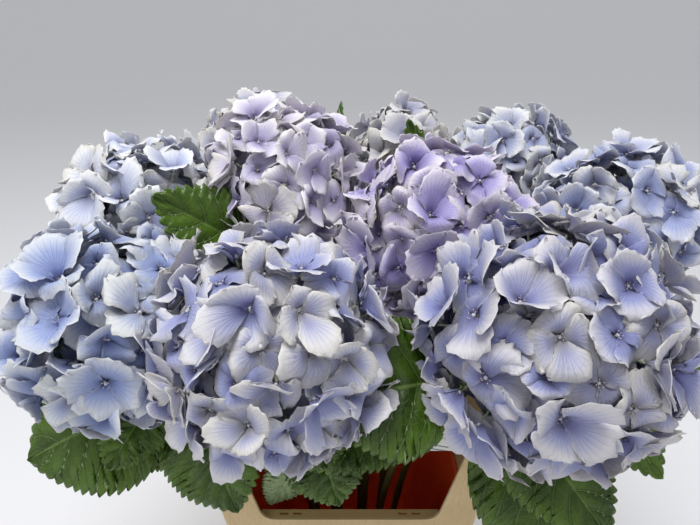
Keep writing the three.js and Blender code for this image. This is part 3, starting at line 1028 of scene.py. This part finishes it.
stemShape = {
    "footShare": 0.2,  # where a stem stands, as a share of its head's place
    "foot": 0.0034,
    "straight": 0.290,
    "neck": 0.120,
    "radius": 0.0043,
    "gap": 0.0004,
    "thinning": 0.12,
    "nodes": (0.22, 0.5, 0.76),  # swollen places along the stem
    "swelling": 0.22,
    "nodeLength": 0.012,
}

stemLook = {
    "dark": (0.10, 0.17, 0.035),
    "light": (0.19, 0.27, 0.07),
    "flecks": (0.13, 0.05, 0.04),
    # woody colour with painted shade, darkening the stems inside the sleeve
    "woodAndShade": (0.055, 0.045, 0.018),
    "woodAndShadeFrom": 0.42,
    "woodAndShadeTo": 0.20,
    "roughness": 0.5,
}


def stemPath(ball, shares):
    middle, radius = ball
    axis = axisOf(middle)
    top = middle - axis * (headShape["underside"] * radius + stemShape["gap"])
    share = stemShape["footShare"]
    foot = np.array([middle[0] * share, middle[1] * share, stemShape["foot"]])
    knee = foot + np.array([0.0, 0.0, stemShape["straight"]])
    return bezierPoints([foot, knee, top - axis * stemShape["neck"], top], shares)


def makeStem(name, balls):
    shares = np.linspace(0.0, 1.0, 45)
    radii = stemShape["radius"] * (1.0 - stemShape["thinning"] * shares)
    for node in stemShape["nodes"]:
        nearNode = np.exp(-(((shares - node) / stemShape["nodeLength"]) ** 2))
        radii = radii * (1.0 + stemShape["swelling"] * nearNode)
    parts = Parts()
    addTube(parts, stemPath(balls[name], shares), radii, 12, 0.0)
    stem = linkObject(f"stalk_{name}", parts.mesh(f"stalk_{name}", "stemMap"))
    stem.data.materials.append(bpy.data.materials["stem_skin"])
    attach(stem, "root")
    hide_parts(f"stem_{name}")


def stemMaterial():
    _, tree, surface = newMaterial("stem_skin")
    place = objectPlace(tree)
    streak = addNode(tree, "ShaderNodeMapping", {"Vector": place, "Scale": (1.0, 1.0, 0.12)}).outputs[0]
    flecks = rangeNode(tree, noiseNode(tree, streak, 900.0, 2.0), 0.56, 0.68)
    colour = mottle(tree, 45.0, 3.0, stemLook["dark"], stemLook["light"])["Colour"]
    colour = layOver(tree, colour, flecks, 0.6, stemLook["flecks"])
    upward = addNode(tree, "ShaderNodeSeparateXYZ", {0: place}).outputs["Z"]
    # Darker and browner towards the foot: woody stem, with painted shade where it stands inside the
    # sleeve.
    woodAndShade = rangeNode(tree, upward, stemLook["woodAndShadeTo"], stemLook["woodAndShadeFrom"], 1.0, 0.0)
    colour = layOver(tree, colour, woodAndShade, 0.8, stemLook["woodAndShade"])
    tree.links.new(colour, surface.inputs["Base Color"])
    surface.inputs["Roughness"].default_value = stemLook["roughness"]
    bumpOn(tree, surface, noiseNode(tree, streak, 600.0, 3.0), 0.3, 0.0006)


leafShape = {
    "petiole": 0.16,  # share of the length that is bare stalk
    "petioleRadius": 0.0021,
    "teeth": 19,
    "toothDepth": 0.0050,
    "toothSway": 1.1,  # how far a tooth leans towards the tip
    "toothSteps": [0.0, 0.3, 0.6, 0.86],
    "toothHeights": [0.0, 0.62, 1.0, 0.86, 0.0],
    "columns": [-1, -0.93, -0.8, -0.64, -0.48, -0.32, -0.18, -0.07],
    "veinPairs": 8,
    "veinSlant": 0.20,
    "veinBend": 1.15,
    "veinStart": 0.35,
    "veinShift": 0.12,  # between the veins of the two halves
    "bulge": 0.0032,  # height of the quilting between veins
    "fold": 0.16,
    "wave": 0.050,
    "waves": 2.6,
    "droop": 0.10,
    "thickness": 0.0006,
    "ribEnd": 0.93,
    "ribSink": 0.0006,
    "turned": "window_left",  # the leaf that shows its pale underside to the front
}

leafKinds = {"top": 0.0, "under": 1.0, "stalk": 2.0, "rib": 3.0}

leafLook = {
    "dark": (0.013, 0.040, 0.002),
    "light": (0.072, 0.150, 0.006),
    "rim": (0.13, 0.22, 0.03),
    "net": (0.12, 0.21, 0.03),
    # painted shade in the grooves beside the side veins
    "veinGrooveShade": (0.010, 0.032, 0.003),
    "vein": (0.20, 0.32, 0.07),
    "underDark": (0.20, 0.30, 0.13),
    "underLight": (0.28, 0.38, 0.18),
    "underVein": (0.42, 0.50, 0.30),
    "stalk": (0.22, 0.32, 0.09),
    "gloss": (0.85, 1.0, 0.60, 1.0),
    "specular": 0.5,
    "coat": 0.3,
    "coatRoughness": 0.28,
    "cells": 150.0,
    "fineCells": 420.0,
    "bump": 0.9,
    "bumpDepth": 0.0010,
}

# Stem, place on the stem, tip, width, the way the upper face looks, and arch, in millimetres.
leaves = {
    "low_left": ("far_left", 0.84, (-273, -182, 400), 122, (-0.2, -0.75, 0.6), 16),
    "left_hanging": ("far_left", 0.95, (-190, -214, 421), 56, (0.1, -0.9, 0.3), 10),
    "low_left_under": ("far_left", 0.77, (-196, -168, 372), 62, (-0.1, -0.6, 0.8), 8),
    "left_edge": ("upper_left", 0.88, (-334, -86, 428), 70, (-0.5, -0.2, 0.8), 14),
    "front_hanging": ("far_left", 0.9, (-94, -204, 364), 96, (-0.1, -0.9, 0.4), 10),
    "window_left": ("front_left", 0.62, (-86, -112, 268), 60, (-0.2, -0.7, -0.6), 4),
    "window_middle": ("front_left", 0.8, (-10, -178, 342), 74, (0.1, -0.9, 0.4), 10),
    "front_middle": ("front_left", 0.88, (-20, -196, 404), 66, (0.2, -0.8, 0.6), 10),
    "big_middle": ("front_right", 0.95, (-30, -190, 470), 108, (-0.1, -0.85, 0.5), 14),
    "over_rim": ("front_right", 0.79, (-52, -176, 391), 76, (0, -0.5, 0.85), 12),
    "rim_small": ("centre_right", 0.72, (48, -158, 372), 44, (0, -0.9, 0.5), 12),
    "low_right": ("front_right", 0.86, (202, -236, 332), 106, (-0.1, -0.85, 0.5), 16),
    "low_right_upper": ("front_right", 0.93, (192, -252, 392), 82, (0.05, -0.8, 0.6), 10),
    "low_right_side": ("right", 0.8, (266, -188, 384), 96, (0.2, -0.7, 0.7), 10),
    "right_edge": ("right", 0.88, (366, -118, 420), 86, (0.3, -0.5, 0.8), 14),
    "right_back": ("back_right", 0.88, (330, 60, 460), 84, (0.4, 0.1, 0.9), 16),
    "upright_left": ("centre", 0.82, (-160, -112, 612), 84, (-0.1, -0.75, 0.65), 12),
    "upright_back": ("back_centre", 0.76, (-10, 160, 644), 44, (-0.8, -0.53, 0.27), 26),
    "upright_right": ("back_right", 0.76, (62, 58, 642), 56, (0, -1, 0.1), 4),
    "back_low_left": ("back_left", 0.84, (-178, 232, 424), 96, (-0.2, 0.7, 0.7), 16),
    "back_low_middle": ("back_centre", 0.84, (10, 252, 408), 92, (0, 0.75, 0.65), 16),
    "back_low_right": ("back_right", 0.78, (170, 236, 404), 96, (0.2, 0.7, 0.7), 16),
    "side_left": ("upper_left", 0.8, (-286, 40, 432), 92, (-0.6, 0.2, 0.75), 14),
}


def leafOutline(share, width):
    along = np.clip((share - leafShape["petiole"]) / (1.0 - leafShape["petiole"]), 0.0, 1.0)
    full = width / 2.0 * np.sin(math.pi * along**0.72) ** 0.8
    return np.maximum(np.maximum(leafShape["petioleRadius"] * 0.8 * (1.0 - along), full), 0.0005)


def leafSpine(spec, ball):
    _, at, tip, _, face, arch = spec
    root = stemPath(ball, [at])[0]
    tip = np.array(tip) * millimetre
    face = unit(np.array(face, float))
    out = unit(tip - root)
    base = root + out * (stemShape["radius"] - 0.001)
    middle = (base + tip) / 2.0 + face * 2.0 * arch * millimetre
    return [base, middle, tip], face


def makeLeafMesh(name, spec, ball, seed):
    controls, face = leafSpine(spec, ball)
    width = spec[3] * millimetre
    rng = np.random.default_rng(seed)
    teeth = leafShape["teeth"]
    phases = np.array(leafShape["toothSteps"])
    ticks = np.concatenate([index + phases for index in range(teeth)] + [np.array([teeth])]) / teeth
    shares = leafShape["petiole"] + (1.0 - leafShape["petiole"]) * ticks
    spine = bezierPoints(controls, shares)
    along = unit(np.gradient(spine, axis=0))
    side = unit(np.cross(along, face))
    up = unit(np.cross(side, along))
    columns = np.array(leafShape["columns"])
    columns = np.concatenate([columns, [0.0], -columns[::-1]])
    tick, across = np.meshgrid(ticks, columns, indexing="ij")
    half = leafOutline(shares, width)[:, None]
    bigness = np.sin(math.pi * np.clip(tick, 0, 1) ** 0.8) ** 0.5
    saw = (tick * teeth) % 1.0
    saw = np.interp(saw, leafShape["toothSteps"] + [1.0], leafShape["toothHeights"])
    jitter = 0.75 + 0.5 * rng.random((teeth + 1, 2))
    own = jitter[np.minimum((tick * teeth).astype(int), teeth), (across > 0).astype(int)]
    size = min(1.0, width / 0.07)
    tooth = leafShape["toothDepth"] * size * bigness * own * (saw - 0.45) * np.abs(across) ** 3
    reach = half * np.abs(across) + tooth
    offset = np.sign(across) * np.maximum(reach, 0.0)
    forward = leafShape["toothSway"] * tooth + 0.06 * half * np.abs(across)
    slant = leafShape["veinSlant"] * np.abs(across) ** leafShape["veinBend"]
    lane = (tick - slant + leafShape["veinStart"]) * leafShape["veinPairs"]
    lane = lane + leafShape["veinShift"] * np.sign(across)
    pillow = np.abs(np.sin(math.pi * lane)) ** 0.7
    rib = np.clip(np.abs(across) / 0.10, 0.0, 1.0)
    lift = leafShape["bulge"] * size * pillow * rib * (1.0 - 0.75 * np.abs(across) ** 3)
    fold = leafShape["fold"] * half * np.abs(across) ** 1.3
    turn = 2.0 * math.pi * (leafShape["waves"] * tick + rng.random())
    wave = leafShape["wave"] * half * np.sin(turn + 1.3 * np.sign(across)) * across**2
    droop = -leafShape["droop"] * half * np.abs(across) ** 3.5
    height = fold + wave + droop + lift
    centre = spine[:, None] + along[:, None] * forward[..., None]
    top = centre + side[:, None] * offset[..., None] + up[:, None] * height[..., None]
    normal = unit(np.cross(np.gradient(top, axis=1), np.gradient(top, axis=0)))
    if (normal * up[:, None]).sum() < 0:
        normal = -normal
    under = top - normal * leafShape["thickness"]
    rows, size = top.shape[:2]
    count = rows * size
    points = np.concatenate([top.reshape(-1, 3), under.reshape(-1, 3)])
    faces = []
    for row in range(rows - 1):
        for column in range(size - 1):
            corner = row * size + column
            quad = (corner, corner + size, corner + size + 1, corner + 1)
            faces.append(quad[::-1])
            faces.append(tuple(index + count for index in quad))
    rim = list(range(size)) + [row * size + size - 1 for row in range(1, rows)]
    rim += [(rows - 1) * size + column for column in range(size - 2, -1, -1)]
    rim += [row * size for row in range(rows - 2, 0, -1)]
    for index, corner in enumerate(rim):
        following = rim[(index + 1) % len(rim)]
        faces.append((corner, corner + count, following + count, following))
    place = np.stack([across * 0.5 + 0.5, tick], -1).reshape(-1, 2)
    parts = Parts()
    sides = [leafKinds["top"], leafKinds["under"]]
    if name.endswith(leafShape["turned"]):
        sides.reverse()
    parts.add(points, faces, np.concatenate([place, place]), np.repeat(sides, count))
    steps = np.linspace(0.0, leafShape["petiole"] + 0.02, 8)
    radii = leafShape["petioleRadius"] * np.linspace(1.25, 0.7, 8)
    addTube(parts, bezierPoints(controls, steps), radii, 8, leafKinds["stalk"])
    ribPath = bezierPoints(controls, np.linspace(leafShape["petiole"], leafShape["ribEnd"], 24))
    ribWay = unit(np.gradient(ribPath, axis=0))
    ribUp = unit(np.cross(np.cross(ribWay, face), ribWay))
    ribRadii = leafShape["petioleRadius"] * np.linspace(0.72, 0.15, 24)
    addTube(parts, ribPath - ribUp * leafShape["ribSink"], ribRadii, 6, leafKinds["rib"])
    return parts.mesh(name, "leafMap")


def makeLeaf(name, spec, balls, seed):
    leaf = linkObject(f"foliage_{name}", makeLeafMesh(f"foliage_{name}", spec, balls[spec[0]], seed))
    leaf.data.materials.append(bpy.data.materials["leaf_blade"])
    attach(leaf, "root")
    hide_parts(f"leaf_{name}")


def cellNet(tree, spot, scale, width):
    inputs = {"Vector": spot, "Scale": scale}
    cells = addNode(tree, "ShaderNodeTexVoronoi", inputs, feature="DISTANCE_TO_EDGE")
    return rangeNode(tree, cells.outputs["Distance"], 0.0, width, 1.0, 0.0)


# How far a place on the blade is from a side vein: 0 on it, 1 midway. It follows the quilting.
def veinDistance(tree, spot, tick, signed, across):
    bend = mathNode(tree, "POWER", across, leafShape["veinBend"])
    slant = times(tree, bend, -leafShape["veinSlant"])
    wobble = mathNode(tree, "MULTIPLY_ADD", noiseNode(tree, spot, 60.0, 1.0), 0.010, -0.005)
    lane = plus(tree, plus(tree, tick, slant), plus(tree, wobble, leafShape["veinStart"]))
    lane = times(tree, lane, float(leafShape["veinPairs"]))
    side = mathNode(tree, "SIGN", signed)
    lane = mathNode(tree, "MULTIPLY_ADD", side, leafShape["veinShift"], lane)
    return mathNode(tree, "ABSOLUTE", mathNode(tree, "SINE", times(tree, lane, math.pi)))


def leafMaterial():
    _, tree, surface = newMaterial("leaf_blade")
    place = addNode(tree, "ShaderNodeUVMap", uv_map="leafMap").outputs[0]
    spot = objectPlace(tree)
    split = addNode(tree, "ShaderNodeSeparateXYZ", {0: place})
    signed = mathNode(tree, "MULTIPLY_ADD", split.outputs[0], 2.0, -1.0)
    across = mathNode(tree, "ABSOLUTE", signed)
    fromVein = veinDistance(tree, spot, split.outputs[1], signed, across)
    sideVein = rangeNode(tree, fromVein, 0.02, 0.18, 1.0, 0.0)
    sideVein = times(tree, sideVein, rangeNode(tree, across, 0.6, 1.0, 1.0, 0.35))
    midrib = rangeNode(tree, across, 0.012, 0.045, 1.0, 0.0)
    vein = larger(tree, sideVein, midrib)
    net = cellNet(tree, spot, leafLook["cells"], 0.10)
    fineNet = cellNet(tree, spot, leafLook["fineCells"], 0.14)
    colour = mottle(tree, 28.0, 3.0, leafLook["dark"], leafLook["light"])["Colour"]
    colour = layOver(tree, colour, rangeNode(tree, across, 0.75, 1.0), 0.35, leafLook["rim"])
    colour = layOver(tree, colour, net, 0.20, leafLook["net"])
    # Painted shade in the sunken grooves along the side veins.
    veinGrooveShade = rangeNode(tree, fromVein, 0.10, 0.55, 1.0, 0.0)
    colour = layOver(tree, colour, veinGrooveShade, 0.45, leafLook["veinGrooveShade"])
    colour = layOver(tree, colour, vein, 0.65, leafLook["vein"])
    pale = mottle(tree, 28.0, 3.0, leafLook["underDark"], leafLook["underLight"])["Colour"]
    underVein = larger(tree, vein, times(tree, net, 0.6))
    pale = mixColours(tree, underVein, pale, leafLook["underVein"])
    kind = pointKind(tree)
    isUnder = rangeNode(tree, kind, 0.4, 0.6)
    colour = mixColours(tree, isUnder, colour, pale)
    colour = mixColours(tree, rangeNode(tree, kind, 1.4, 1.6), colour, leafLook["stalk"])
    tree.links.new(colour, surface.inputs["Base Color"])
    rough = mathNode(tree, "MULTIPLY_ADD", isUnder, 0.30, 0.30)
    rough = mathNode(tree, "MULTIPLY_ADD", net, 0.10, rough)
    tree.links.new(rough, surface.inputs["Roughness"])
    surface.inputs["Specular IOR Level"].default_value = leafLook["specular"]
    surface.inputs["Specular Tint"].default_value = leafLook["gloss"]
    surface.inputs["Coat Weight"].default_value = leafLook["coat"]
    surface.inputs["Coat Roughness"].default_value = leafLook["coatRoughness"]
    dip = plus(tree, times(tree, net, 0.22), times(tree, fineNet, 0.08))
    dip = plus(tree, dip, times(tree, sideVein, 0.8))
    height = times(tree, dip, mathNode(tree, "MULTIPLY_ADD", isUnder, 2.0, -1.0))
    bumpOn(tree, surface, height, leafLook["bump"], leafLook["bumpDepth"])


sleeve = {
    "height": 0.400,
    "halfWidth": 0.150,
    "halfDepth": 0.140,
    "sideTaper": 0.15,
    "frontTaper": 0.06,
}

boardLook = {
    "dark": (0.56, 0.41, 0.215),
    "light": (0.63, 0.475, 0.26),
    "fibre": (0.36, 0.26, 0.15),
    "speck": (0.22, 0.15, 0.08),
    "scuff": (0.25, 0.18, 0.11),
    "rubbed": (0.78, 0.66, 0.45),
    # inner faces: brown kraft darkened by painted shade
    "inside": (0.50, 0.31, 0.12),
    "roughness": 0.82,
    "bump": 0.25,
    "bumpDepth": 0.0006,
}


# How far a place is inside the sleeve's outer side and front faces.
def boardDepths(tree, place):
    depth = mathNode(tree, "ABSOLUTE", place["Y"])
    width = mathNode(tree, "ABSOLUTE", place["X"])
    down = minus(tree, sleeve["height"], place["Z"])
    side = mathNode(tree, "MULTIPLY_ADD", down, -sleeve["sideTaper"], sleeve["halfWidth"])
    front = mathNode(tree, "MULTIPLY_ADD", down, -sleeve["frontTaper"], sleeve["halfDepth"])
    return minus(tree, side, width), minus(tree, front, depth)


def boardMaterial():
    material, tree, surface = newMaterial("tan_board")
    spot = objectPlace(tree)
    place = addNode(tree, "ShaderNodeSeparateXYZ", {0: spot}).outputs
    upright = addNode(tree, "ShaderNodeMapping", {"Vector": spot, "Scale": (1.0, 1.0, 0.15)}).outputs[0]
    fibre = noiseNode(tree, upright, 700.0, 4.0, 0.65)
    colour = mottle(tree, 14.0, 4.0, boardLook["dark"], boardLook["light"])["Colour"]
    colour = layOver(tree, colour, rangeNode(tree, fibre, 0.45, 0.75), 0.45, boardLook["fibre"])
    speck = rangeNode(tree, noiseNode(tree, spot, 1400.0, 1.0), 0.70, 0.80)
    colour = layOver(tree, colour, speck, 0.5, boardLook["speck"])
    grime = rangeNode(tree, noiseNode(tree, spot, 60.0, 4.0), 0.4, 0.7)
    scuff = times(tree, rangeNode(tree, place["Z"], 0.0, 0.03, 1.0, 0.0), grime)
    colour = layOver(tree, colour, scuff, 0.6, boardLook["scuff"])
    fromSide, fromFront = boardDepths(tree, place)
    rub = rangeNode(tree, noiseNode(tree, spot, 90.0, 3.0), 0.35, 0.65, 0.2, 1.0)
    nearCorner = rangeNode(tree, larger(tree, fromSide, fromFront), 0.0008, 0.0045, 1.0, 0.0)
    colour = layOver(tree, colour, times(tree, nearCorner, rub), 0.55, boardLook["rubbed"])
    # Inner faces and the ledge: the board's brown kraft, darkened with painted shade.
    inside = rangeNode(tree, mathNode(tree, "MINIMUM", fromSide, fromFront), 0.0020, 0.0034)
    colour = layOver(tree, colour, inside, 0.65, boardLook["inside"])
    tree.links.new(colour, surface.inputs["Base Color"])
    surface.inputs["Roughness"].default_value = boardLook["roughness"]
    flutes = {"Vector": spot, "Scale": 60.0, "Distortion": 0.6}
    flute = addNode(tree, "ShaderNodeTexWave", flutes, bands_direction="X").outputs["Fac"]
    height = plus(tree, times(tree, flute, 0.35), fibre)
    bumpOn(tree, surface, height, boardLook["bump"], boardLook["bumpDepth"])
    return material


plasticLook = {
    "dark": (0.56, 0.038, 0.006),
    "light": (0.72, 0.070, 0.012),
    "stain": (0.16, 0.02, 0.006),
    "smoothest": 0.34,
    "roughest": 0.48,
}


def plasticMaterial():
    material, tree, surface = newMaterial("red_plastic")
    spot = objectPlace(tree)
    cloud = mottle(tree, 9.0, 4.0, plasticLook["dark"], plasticLook["light"])
    stain = rangeNode(tree, noiseNode(tree, spot, 38.0, 5.0, 0.6), 0.55, 0.75)
    colour = layOver(tree, cloud["Colour"], stain, 0.45, plasticLook["stain"])
    tree.links.new(colour, surface.inputs["Base Color"])
    smoothest = plasticLook["smoothest"]
    spread = plasticLook["roughest"] - smoothest
    rough = mathNode(tree, "MULTIPLY_ADD", cloud["Mask"], spread, smoothest)
    tree.links.new(rough, surface.inputs["Roughness"])
    bumpOn(tree, surface, noiseNode(tree, spot, 1600.0, 2.0), 0.12, 0.0004)
    return material


labelLook = {
    "tilt": 12.0,  # degrees
    "dark": (0.70, 0.69, 0.67),
    "light": (0.80, 0.79, 0.77),
    "ink": (0.05, 0.05, 0.06),
    "inkShare": 0.8,
    "inkEdge": 0.0001,
    "roughness": 0.6,
    # left, right, bottom and top of each printed line, from the middle of the label
    "lines": [(-0.036, 0.030, -0.009, -0.0075), (-0.036, 0.012, -0.014, -0.0125)],
    "bars": range(-6, 6),
    "barPitch": 0.0024,
    "barWidth": 0.0011,
    "barBottom": 0.001,
    "barTop": 0.010,
}


def labelMarks():
    marks = list(labelLook["lines"])
    for index in labelLook["bars"]:
        left = labelLook["barPitch"] * index
        marks.append((left, left + labelLook["barWidth"], labelLook["barBottom"], labelLook["barTop"]))
    return marks


# 1 where a value lies between two limits.
def stripMask(tree, value, low, high):
    edge = labelLook["inkEdge"]
    above = rangeNode(tree, value, low - edge, low + edge, smooth=False)
    below = rangeNode(tree, value, high - edge, high + edge, 1.0, 0.0, smooth=False)
    return times(tree, above, below)


def labelMaterial():
    material, tree, surface = newMaterial("label_paper")
    spot = objectPlace(tree)
    middle = [(low + high) / 2.0 for low, high in zip(*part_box("label"))]
    toMiddle = {"Vector": spot, "Location": tuple(-value for value in middle)}
    centred = addNode(tree, "ShaderNodeMapping", toMiddle).outputs[0]
    level = {"Vector": centred, "Rotation": (0.0, -math.radians(labelLook["tilt"]), 0.0)}
    split = addNode(tree, "ShaderNodeMapping", level).outputs[0]
    split = addNode(tree, "ShaderNodeSeparateXYZ", {0: split}).outputs
    ink = 0.0
    for left, right, bottom, top in labelMarks():
        across = stripMask(tree, split["X"], left, right)
        ink = larger(tree, ink, times(tree, across, stripMask(tree, split["Z"], bottom, top)))
    grain = noiseNode(tree, spot, 900.0, 4.0)
    paper = mottle(tree, 900.0, 4.0, labelLook["dark"], labelLook["light"])["Colour"]
    colour = layOver(tree, paper, ink, labelLook["inkShare"], labelLook["ink"])
    tree.links.new(colour, surface.inputs["Base Color"])
    surface.inputs["Roughness"].default_value = labelLook["roughness"]
    bumpOn(tree, surface, grain, 0.15, 0.0002)
    return material


def dressHolder():
    finishes = {
        "carton_sleeve": boardMaterial(),
        "bucket": plasticMaterial(),
        "label": labelMaterial(),
    }
    for node, material in finishes.items():
        piece = bpy.data.objects[node]
        if not piece.material_slots:
            piece.data.materials.append(material)
        for slot in piece.material_slots:
            slot.material = material


makeCamera()
makeStudio()
makeFloor()
print("camera, lights and floor done", flush=True)

dressHolder()
print("holder done", flush=True)

balls = {name: ballOf(f"head_{name}") for name in headColours}
stemMaterial()
for name in balls:
    makeStem(name, balls)
print("stems done", flush=True)

leafMaterial()
for index, (name, spec) in enumerate(leaves.items()):
    makeLeaf(name, spec, balls, 100 + index)
print("leaves done", flush=True)

makeHeads(balls)
print("flower heads done", flush=True)
